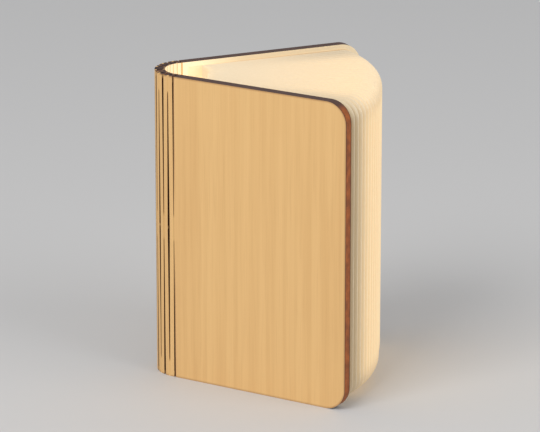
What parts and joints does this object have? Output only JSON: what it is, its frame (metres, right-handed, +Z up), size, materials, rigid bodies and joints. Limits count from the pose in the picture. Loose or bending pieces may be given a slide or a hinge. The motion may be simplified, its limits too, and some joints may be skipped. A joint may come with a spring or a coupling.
{
  "type": "folding book lamp",
  "caption": "Book-shaped lamp: wooden covers on a laser-cut living hinge open a lit fan of pleated paper; a light bar sits in the spine.",
  "frame": {"origin": "under the middle of the box of the lamp as it stands open, on the surface it stands on", "axes": "+Z up along the spine, +X from the spine to the fore edges, -Y to the front cover"},
  "size_m": [0.0878, 0.0952, 0.122],
  "materials": {
    "plywood": "matt clear-lacquered veneer",
    "hinge_plywood": "matt veneer with laser-darkened edges",
    "pleated_paper": "translucent matt",
    "endpaper": "matt",
    "magnet_steel": "nickel plated",
    "diffuser": "opal",
    "white_plastic": "satin",
    "screw_steel": "zinc plated",
    "foam_tape": "foam",
    "circuit_board": "white solder mask",
    "led": "phosphor",
    "cell_foil": "satin foil",
    "lead_insulation": "smooth",
    "chip_black": "moulded",
    "socket_steel": "plated",
    "signal_light": "clear tinted"
  },
  "bodies": {
    "spine": {"spine_strips": "hinge_plywood", "light_bar_shell": "white_plastic", "light_bar_lens": "diffuser", "top_cap": "white_plastic", "bottom_cap": "white_plastic", "housing_screws": "screw_steel", "mounting_tape": "foam_tape", "led_board": "circuit_board", "leds": "led", "battery_cell": "cell_foil", "battery_leads": "lead_insulation", "opening_sensor": "chip_black", "charging_socket": "socket_steel", "charge_light": "signal_light"},
    "front_strip_1": {"front_strip_1": "hinge_plywood"},
    "front_strip_2": {"front_strip_2": "hinge_plywood"},
    "front_strip_3": {"front_strip_3": "hinge_plywood"},
    "front_strip_4": {"front_strip_4": "hinge_plywood"},
    "front_strip_5": {"front_strip_5": "hinge_plywood"},
    "front_cover": {"front_cover": "plywood", "front_endpaper": "endpaper", "front_magnets": "magnet_steel"},
    "front_pleat_1": {"front_pleat_1": "pleated_paper"},
    "front_pleat_2": {"front_pleat_2": "pleated_paper"},
    "front_pleat_3": {"front_pleat_3": "pleated_paper"},
    "front_pleat_4": {"front_pleat_4": "pleated_paper"},
    "front_pleat_5": {"front_pleat_5": "pleated_paper"},
    "front_pleat_6": {"front_pleat_6": "pleated_paper"},
    "front_pleat_7": {"front_pleat_7": "pleated_paper"},
    "front_pleat_8": {"front_pleat_8": "pleated_paper"},
    "front_pleat_9": {"front_pleat_9": "pleated_paper"},
    "front_pleat_10": {"front_pleat_10": "pleated_paper"},
    "front_pleat_11": {"front_pleat_11": "pleated_paper"},
    "front_pleat_12": {"front_pleat_12": "pleated_paper"},
    "front_pleat_13": {"front_pleat_13": "pleated_paper"},
    "front_pleat_14": {"front_pleat_14": "pleated_paper"},
    "front_pleat_15": {"front_pleat_15": "pleated_paper"},
    "back_strip_1": {"back_strip_1": "hinge_plywood"},
    "back_strip_2": {"back_strip_2": "hinge_plywood"},
    "back_strip_3": {"back_strip_3": "hinge_plywood"},
    "back_strip_4": {"back_strip_4": "hinge_plywood"},
    "back_strip_5": {"back_strip_5": "hinge_plywood"},
    "back_cover": {"back_cover": "plywood", "back_endpaper": "endpaper", "back_magnets": "magnet_steel"},
    "back_pleat_1": {"back_pleat_1": "pleated_paper"},
    "back_pleat_2": {"back_pleat_2": "pleated_paper"},
    "back_pleat_3": {"back_pleat_3": "pleated_paper"},
    "back_pleat_4": {"back_pleat_4": "pleated_paper"},
    "back_pleat_5": {"back_pleat_5": "pleated_paper"},
    "back_pleat_6": {"back_pleat_6": "pleated_paper"},
    "back_pleat_7": {"back_pleat_7": "pleated_paper"},
    "back_pleat_8": {"back_pleat_8": "pleated_paper"},
    "back_pleat_9": {"back_pleat_9": "pleated_paper"},
    "back_pleat_10": {"back_pleat_10": "pleated_paper"},
    "back_pleat_11": {"back_pleat_11": "pleated_paper"},
    "back_pleat_12": {"back_pleat_12": "pleated_paper"},
    "back_pleat_13": {"back_pleat_13": "pleated_paper"},
    "back_pleat_14": {"back_pleat_14": "pleated_paper"},
    "back_pleat_15": {"back_pleat_15": "pleated_paper"}
  },
  "joints": [
    {"name": "front_hinge_1", "type": "hinge", "parent": "spine", "child": "front_strip_1", "pos_m": [-0.04165, -0.00219, 0], "axis": [0, 0, -1], "range_deg": [-4.97, 27.43]},
    {"name": "front_hinge_2", "type": "hinge", "parent": "spine", "child": "front_strip_2", "pos_m": [-0.04154, -0.00331, 0], "axis": [0, 0, -1], "range_deg": [-9.94, 54.86]},
    {"name": "front_hinge_3", "type": "hinge", "parent": "front_strip_2", "child": "front_strip_3", "pos_m": [-0.03996, -0.00623, 0], "axis": [0, 0, -1], "range_deg": [-4.97, 27.43]},
    {"name": "front_hinge_4", "type": "hinge", "parent": "front_strip_2", "child": "front_strip_4", "pos_m": [-0.03943, -0.00722, 0], "axis": [0, 0, -1], "range_deg": [-9.94, 54.87]},
    {"name": "front_hinge_5", "type": "hinge", "parent": "front_strip_4", "child": "front_strip_5", "pos_m": [-0.03685, -0.0093, 0], "axis": [0, 0, -1], "range_deg": [-4.97, 27.43]},
    {"name": "front_hinge_6", "type": "hinge", "parent": "front_strip_4", "child": "front_cover", "pos_m": [-0.03622, -0.0098, 0], "axis": [0, 0, -1], "range_deg": [-7.73, 42.67]},
    {"name": "front_fold_1", "type": "hinge", "parent": "spine", "child": "front_pleat_1", "pos_m": [-0.04036, -0.0085, 0], "axis": [0, 0, -1], "range_deg": [-0.92, 5.08]},
    {"name": "front_fold_2", "type": "hinge", "parent": "front_pleat_1", "child": "front_pleat_2", "pos_m": [-0.04036, -0.0085, 0], "axis": [0, 0, -1], "range_deg": [-1.84, 10.16]},
    {"name": "front_fold_3", "type": "hinge", "parent": "front_pleat_2", "child": "front_pleat_3", "pos_m": [-0.04036, -0.0085, 0], "axis": [0, 0, -1], "range_deg": [-1.84, 10.16]},
    {"name": "front_fold_4", "type": "hinge", "parent": "front_pleat_3", "child": "front_pleat_4", "pos_m": [-0.04036, -0.0085, 0], "axis": [0, 0, -1], "range_deg": [-1.84, 10.16]},
    {"name": "front_fold_5", "type": "hinge", "parent": "front_pleat_4", "child": "front_pleat_5", "pos_m": [-0.04036, -0.0085, 0], "axis": [0, 0, -1], "range_deg": [-1.84, 10.16]},
    {"name": "front_fold_6", "type": "hinge", "parent": "front_pleat_5", "child": "front_pleat_6", "pos_m": [-0.04036, -0.0085, 0], "axis": [0, 0, -1], "range_deg": [-1.84, 10.16]},
    {"name": "front_fold_7", "type": "hinge", "parent": "front_pleat_6", "child": "front_pleat_7", "pos_m": [-0.04036, -0.0085, 0], "axis": [0, 0, -1], "range_deg": [-1.84, 10.16]},
    {"name": "front_fold_8", "type": "hinge", "parent": "front_pleat_7", "child": "front_pleat_8", "pos_m": [-0.04036, -0.0085, 0], "axis": [0, 0, -1], "range_deg": [-1.84, 10.16]},
    {"name": "front_fold_9", "type": "hinge", "parent": "front_pleat_8", "child": "front_pleat_9", "pos_m": [-0.04036, -0.0085, 0], "axis": [0, 0, -1], "range_deg": [-1.84, 10.16]},
    {"name": "front_fold_10", "type": "hinge", "parent": "front_pleat_9", "child": "front_pleat_10", "pos_m": [-0.04036, -0.0085, 0], "axis": [0, 0, -1], "range_deg": [-1.84, 10.16]},
    {"name": "front_fold_11", "type": "hinge", "parent": "front_pleat_10", "child": "front_pleat_11", "pos_m": [-0.04036, -0.0085, 0], "axis": [0, 0, -1], "range_deg": [-1.84, 10.16]},
    {"name": "front_fold_12", "type": "hinge", "parent": "front_pleat_11", "child": "front_pleat_12", "pos_m": [-0.04036, -0.0085, 0], "axis": [0, 0, -1], "range_deg": [-1.84, 10.16]},
    {"name": "front_fold_13", "type": "hinge", "parent": "front_pleat_12", "child": "front_pleat_13", "pos_m": [-0.04036, -0.0085, 0], "axis": [0, 0, -1], "range_deg": [-1.84, 10.16]},
    {"name": "front_fold_14", "type": "hinge", "parent": "front_pleat_13", "child": "front_pleat_14", "pos_m": [-0.04036, -0.0085, 0], "axis": [0, 0, -1], "range_deg": [-1.84, 10.16]},
    {"name": "front_fold_15", "type": "hinge", "parent": "front_pleat_14", "child": "front_pleat_15", "pos_m": [-0.04036, -0.0085, 0], "axis": [0, 0, -1], "range_deg": [-1.84, 10.16]},
    {"name": "back_hinge_1", "type": "hinge", "parent": "spine", "child": "back_strip_1", "pos_m": [-0.04165, 0.00219, 0], "axis": [0, 0, 1], "range_deg": [-4.97, 27.43]},
    {"name": "back_hinge_2", "type": "hinge", "parent": "spine", "child": "back_strip_2", "pos_m": [-0.04154, 0.00331, 0], "axis": [0, 0, 1], "range_deg": [-9.94, 54.86]},
    {"name": "back_hinge_3", "type": "hinge", "parent": "back_strip_2", "child": "back_strip_3", "pos_m": [-0.03996, 0.00623, 0], "axis": [0, 0, 1], "range_deg": [-4.97, 27.43]},
    {"name": "back_hinge_4", "type": "hinge", "parent": "back_strip_2", "child": "back_strip_4", "pos_m": [-0.03943, 0.00722, 0], "axis": [0, 0, 1], "range_deg": [-9.94, 54.87]},
    {"name": "back_hinge_5", "type": "hinge", "parent": "back_strip_4", "child": "back_strip_5", "pos_m": [-0.03685, 0.0093, 0], "axis": [0, 0, 1], "range_deg": [-4.97, 27.43]},
    {"name": "back_hinge_6", "type": "hinge", "parent": "back_strip_4", "child": "back_cover", "pos_m": [-0.03622, 0.0098, 0], "axis": [0, 0, 1], "range_deg": [-7.73, 42.67]},
    {"name": "back_fold_1", "type": "hinge", "parent": "spine", "child": "back_pleat_1", "pos_m": [-0.04036, 0.0085, 0], "axis": [0, 0, 1], "range_deg": [-0.92, 5.08]},
    {"name": "back_fold_2", "type": "hinge", "parent": "back_pleat_1", "child": "back_pleat_2", "pos_m": [-0.04036, 0.0085, 0], "axis": [0, 0, 1], "range_deg": [-1.84, 10.16]},
    {"name": "back_fold_3", "type": "hinge", "parent": "back_pleat_2", "child": "back_pleat_3", "pos_m": [-0.04036, 0.0085, 0], "axis": [0, 0, 1], "range_deg": [-1.84, 10.16]},
    {"name": "back_fold_4", "type": "hinge", "parent": "back_pleat_3", "child": "back_pleat_4", "pos_m": [-0.04036, 0.0085, 0], "axis": [0, 0, 1], "range_deg": [-1.84, 10.16]},
    {"name": "back_fold_5", "type": "hinge", "parent": "back_pleat_4", "child": "back_pleat_5", "pos_m": [-0.04036, 0.0085, 0], "axis": [0, 0, 1], "range_deg": [-1.84, 10.16]},
    {"name": "back_fold_6", "type": "hinge", "parent": "back_pleat_5", "child": "back_pleat_6", "pos_m": [-0.04036, 0.0085, 0], "axis": [0, 0, 1], "range_deg": [-1.84, 10.16]},
    {"name": "back_fold_7", "type": "hinge", "parent": "back_pleat_6", "child": "back_pleat_7", "pos_m": [-0.04036, 0.0085, 0], "axis": [0, 0, 1], "range_deg": [-1.84, 10.16]},
    {"name": "back_fold_8", "type": "hinge", "parent": "back_pleat_7", "child": "back_pleat_8", "pos_m": [-0.04036, 0.0085, 0], "axis": [0, 0, 1], "range_deg": [-1.84, 10.16]},
    {"name": "back_fold_9", "type": "hinge", "parent": "back_pleat_8", "child": "back_pleat_9", "pos_m": [-0.04036, 0.0085, 0], "axis": [0, 0, 1], "range_deg": [-1.84, 10.16]},
    {"name": "back_fold_10", "type": "hinge", "parent": "back_pleat_9", "child": "back_pleat_10", "pos_m": [-0.04036, 0.0085, 0], "axis": [0, 0, 1], "range_deg": [-1.84, 10.16]},
    {"name": "back_fold_11", "type": "hinge", "parent": "back_pleat_10", "child": "back_pleat_11", "pos_m": [-0.04036, 0.0085, 0], "axis": [0, 0, 1], "range_deg": [-1.84, 10.16]},
    {"name": "back_fold_12", "type": "hinge", "parent": "back_pleat_11", "child": "back_pleat_12", "pos_m": [-0.04036, 0.0085, 0], "axis": [0, 0, 1], "range_deg": [-1.84, 10.16]},
    {"name": "back_fold_13", "type": "hinge", "parent": "back_pleat_12", "child": "back_pleat_13", "pos_m": [-0.04036, 0.0085, 0], "axis": [0, 0, 1], "range_deg": [-1.84, 10.16]},
    {"name": "back_fold_14", "type": "hinge", "parent": "back_pleat_13", "child": "back_pleat_14", "pos_m": [-0.04036, 0.0085, 0], "axis": [0, 0, 1], "range_deg": [-1.84, 10.16]},
    {"name": "back_fold_15", "type": "hinge", "parent": "back_pleat_14", "child": "back_pleat_15", "pos_m": [-0.04036, 0.0085, 0], "axis": [0, 0, 1], "range_deg": [-1.84, 10.16]}
  ],
  "couplings": [
    {"joint": "front_hinge_1", "follows": "front_hinge_2", "ratio": 0.5},
    {"joint": "front_hinge_3", "follows": "front_hinge_2", "ratio": 0.5},
    {"joint": "front_hinge_4", "follows": "front_hinge_2", "ratio": 1},
    {"joint": "front_hinge_5", "follows": "front_hinge_2", "ratio": 0.5},
    {"joint": "front_hinge_6", "follows": "front_hinge_2", "ratio": 0.77778},
    {"joint": "front_fold_1", "follows": "front_hinge_2", "ratio": 0.092593},
    {"joint": "front_fold_2", "follows": "front_hinge_2", "ratio": 0.18519},
    {"joint": "front_fold_3", "follows": "front_hinge_2", "ratio": 0.18519},
    {"joint": "front_fold_4", "follows": "front_hinge_2", "ratio": 0.18519},
    {"joint": "front_fold_5", "follows": "front_hinge_2", "ratio": 0.18519},
    {"joint": "front_fold_6", "follows": "front_hinge_2", "ratio": 0.18519},
    {"joint": "front_fold_7", "follows": "front_hinge_2", "ratio": 0.18519},
    {"joint": "front_fold_8", "follows": "front_hinge_2", "ratio": 0.18519},
    {"joint": "front_fold_9", "follows": "front_hinge_2", "ratio": 0.18519},
    {"joint": "front_fold_10", "follows": "front_hinge_2", "ratio": 0.18519},
    {"joint": "front_fold_11", "follows": "front_hinge_2", "ratio": 0.18519},
    {"joint": "front_fold_12", "follows": "front_hinge_2", "ratio": 0.18519},
    {"joint": "front_fold_13", "follows": "front_hinge_2", "ratio": 0.18519},
    {"joint": "front_fold_14", "follows": "front_hinge_2", "ratio": 0.18519},
    {"joint": "front_fold_15", "follows": "front_hinge_2", "ratio": 0.18519},
    {"joint": "back_hinge_1", "follows": "back_hinge_2", "ratio": 0.5},
    {"joint": "back_hinge_3", "follows": "back_hinge_2", "ratio": 0.5},
    {"joint": "back_hinge_4", "follows": "back_hinge_2", "ratio": 1},
    {"joint": "back_hinge_5", "follows": "back_hinge_2", "ratio": 0.5},
    {"joint": "back_hinge_6", "follows": "back_hinge_2", "ratio": 0.77778},
    {"joint": "back_fold_1", "follows": "back_hinge_2", "ratio": 0.092593},
    {"joint": "back_fold_2", "follows": "back_hinge_2", "ratio": 0.18519},
    {"joint": "back_fold_3", "follows": "back_hinge_2", "ratio": 0.18519},
    {"joint": "back_fold_4", "follows": "back_hinge_2", "ratio": 0.18519},
    {"joint": "back_fold_5", "follows": "back_hinge_2", "ratio": 0.18519},
    {"joint": "back_fold_6", "follows": "back_hinge_2", "ratio": 0.18519},
    {"joint": "back_fold_7", "follows": "back_hinge_2", "ratio": 0.18519},
    {"joint": "back_fold_8", "follows": "back_hinge_2", "ratio": 0.18519},
    {"joint": "back_fold_9", "follows": "back_hinge_2", "ratio": 0.18519},
    {"joint": "back_fold_10", "follows": "back_hinge_2", "ratio": 0.18519},
    {"joint": "back_fold_11", "follows": "back_hinge_2", "ratio": 0.18519},
    {"joint": "back_fold_12", "follows": "back_hinge_2", "ratio": 0.18519},
    {"joint": "back_fold_13", "follows": "back_hinge_2", "ratio": 0.18519},
    {"joint": "back_fold_14", "follows": "back_hinge_2", "ratio": 0.18519},
    {"joint": "back_fold_15", "follows": "back_hinge_2", "ratio": 0.18519}
  ]
}
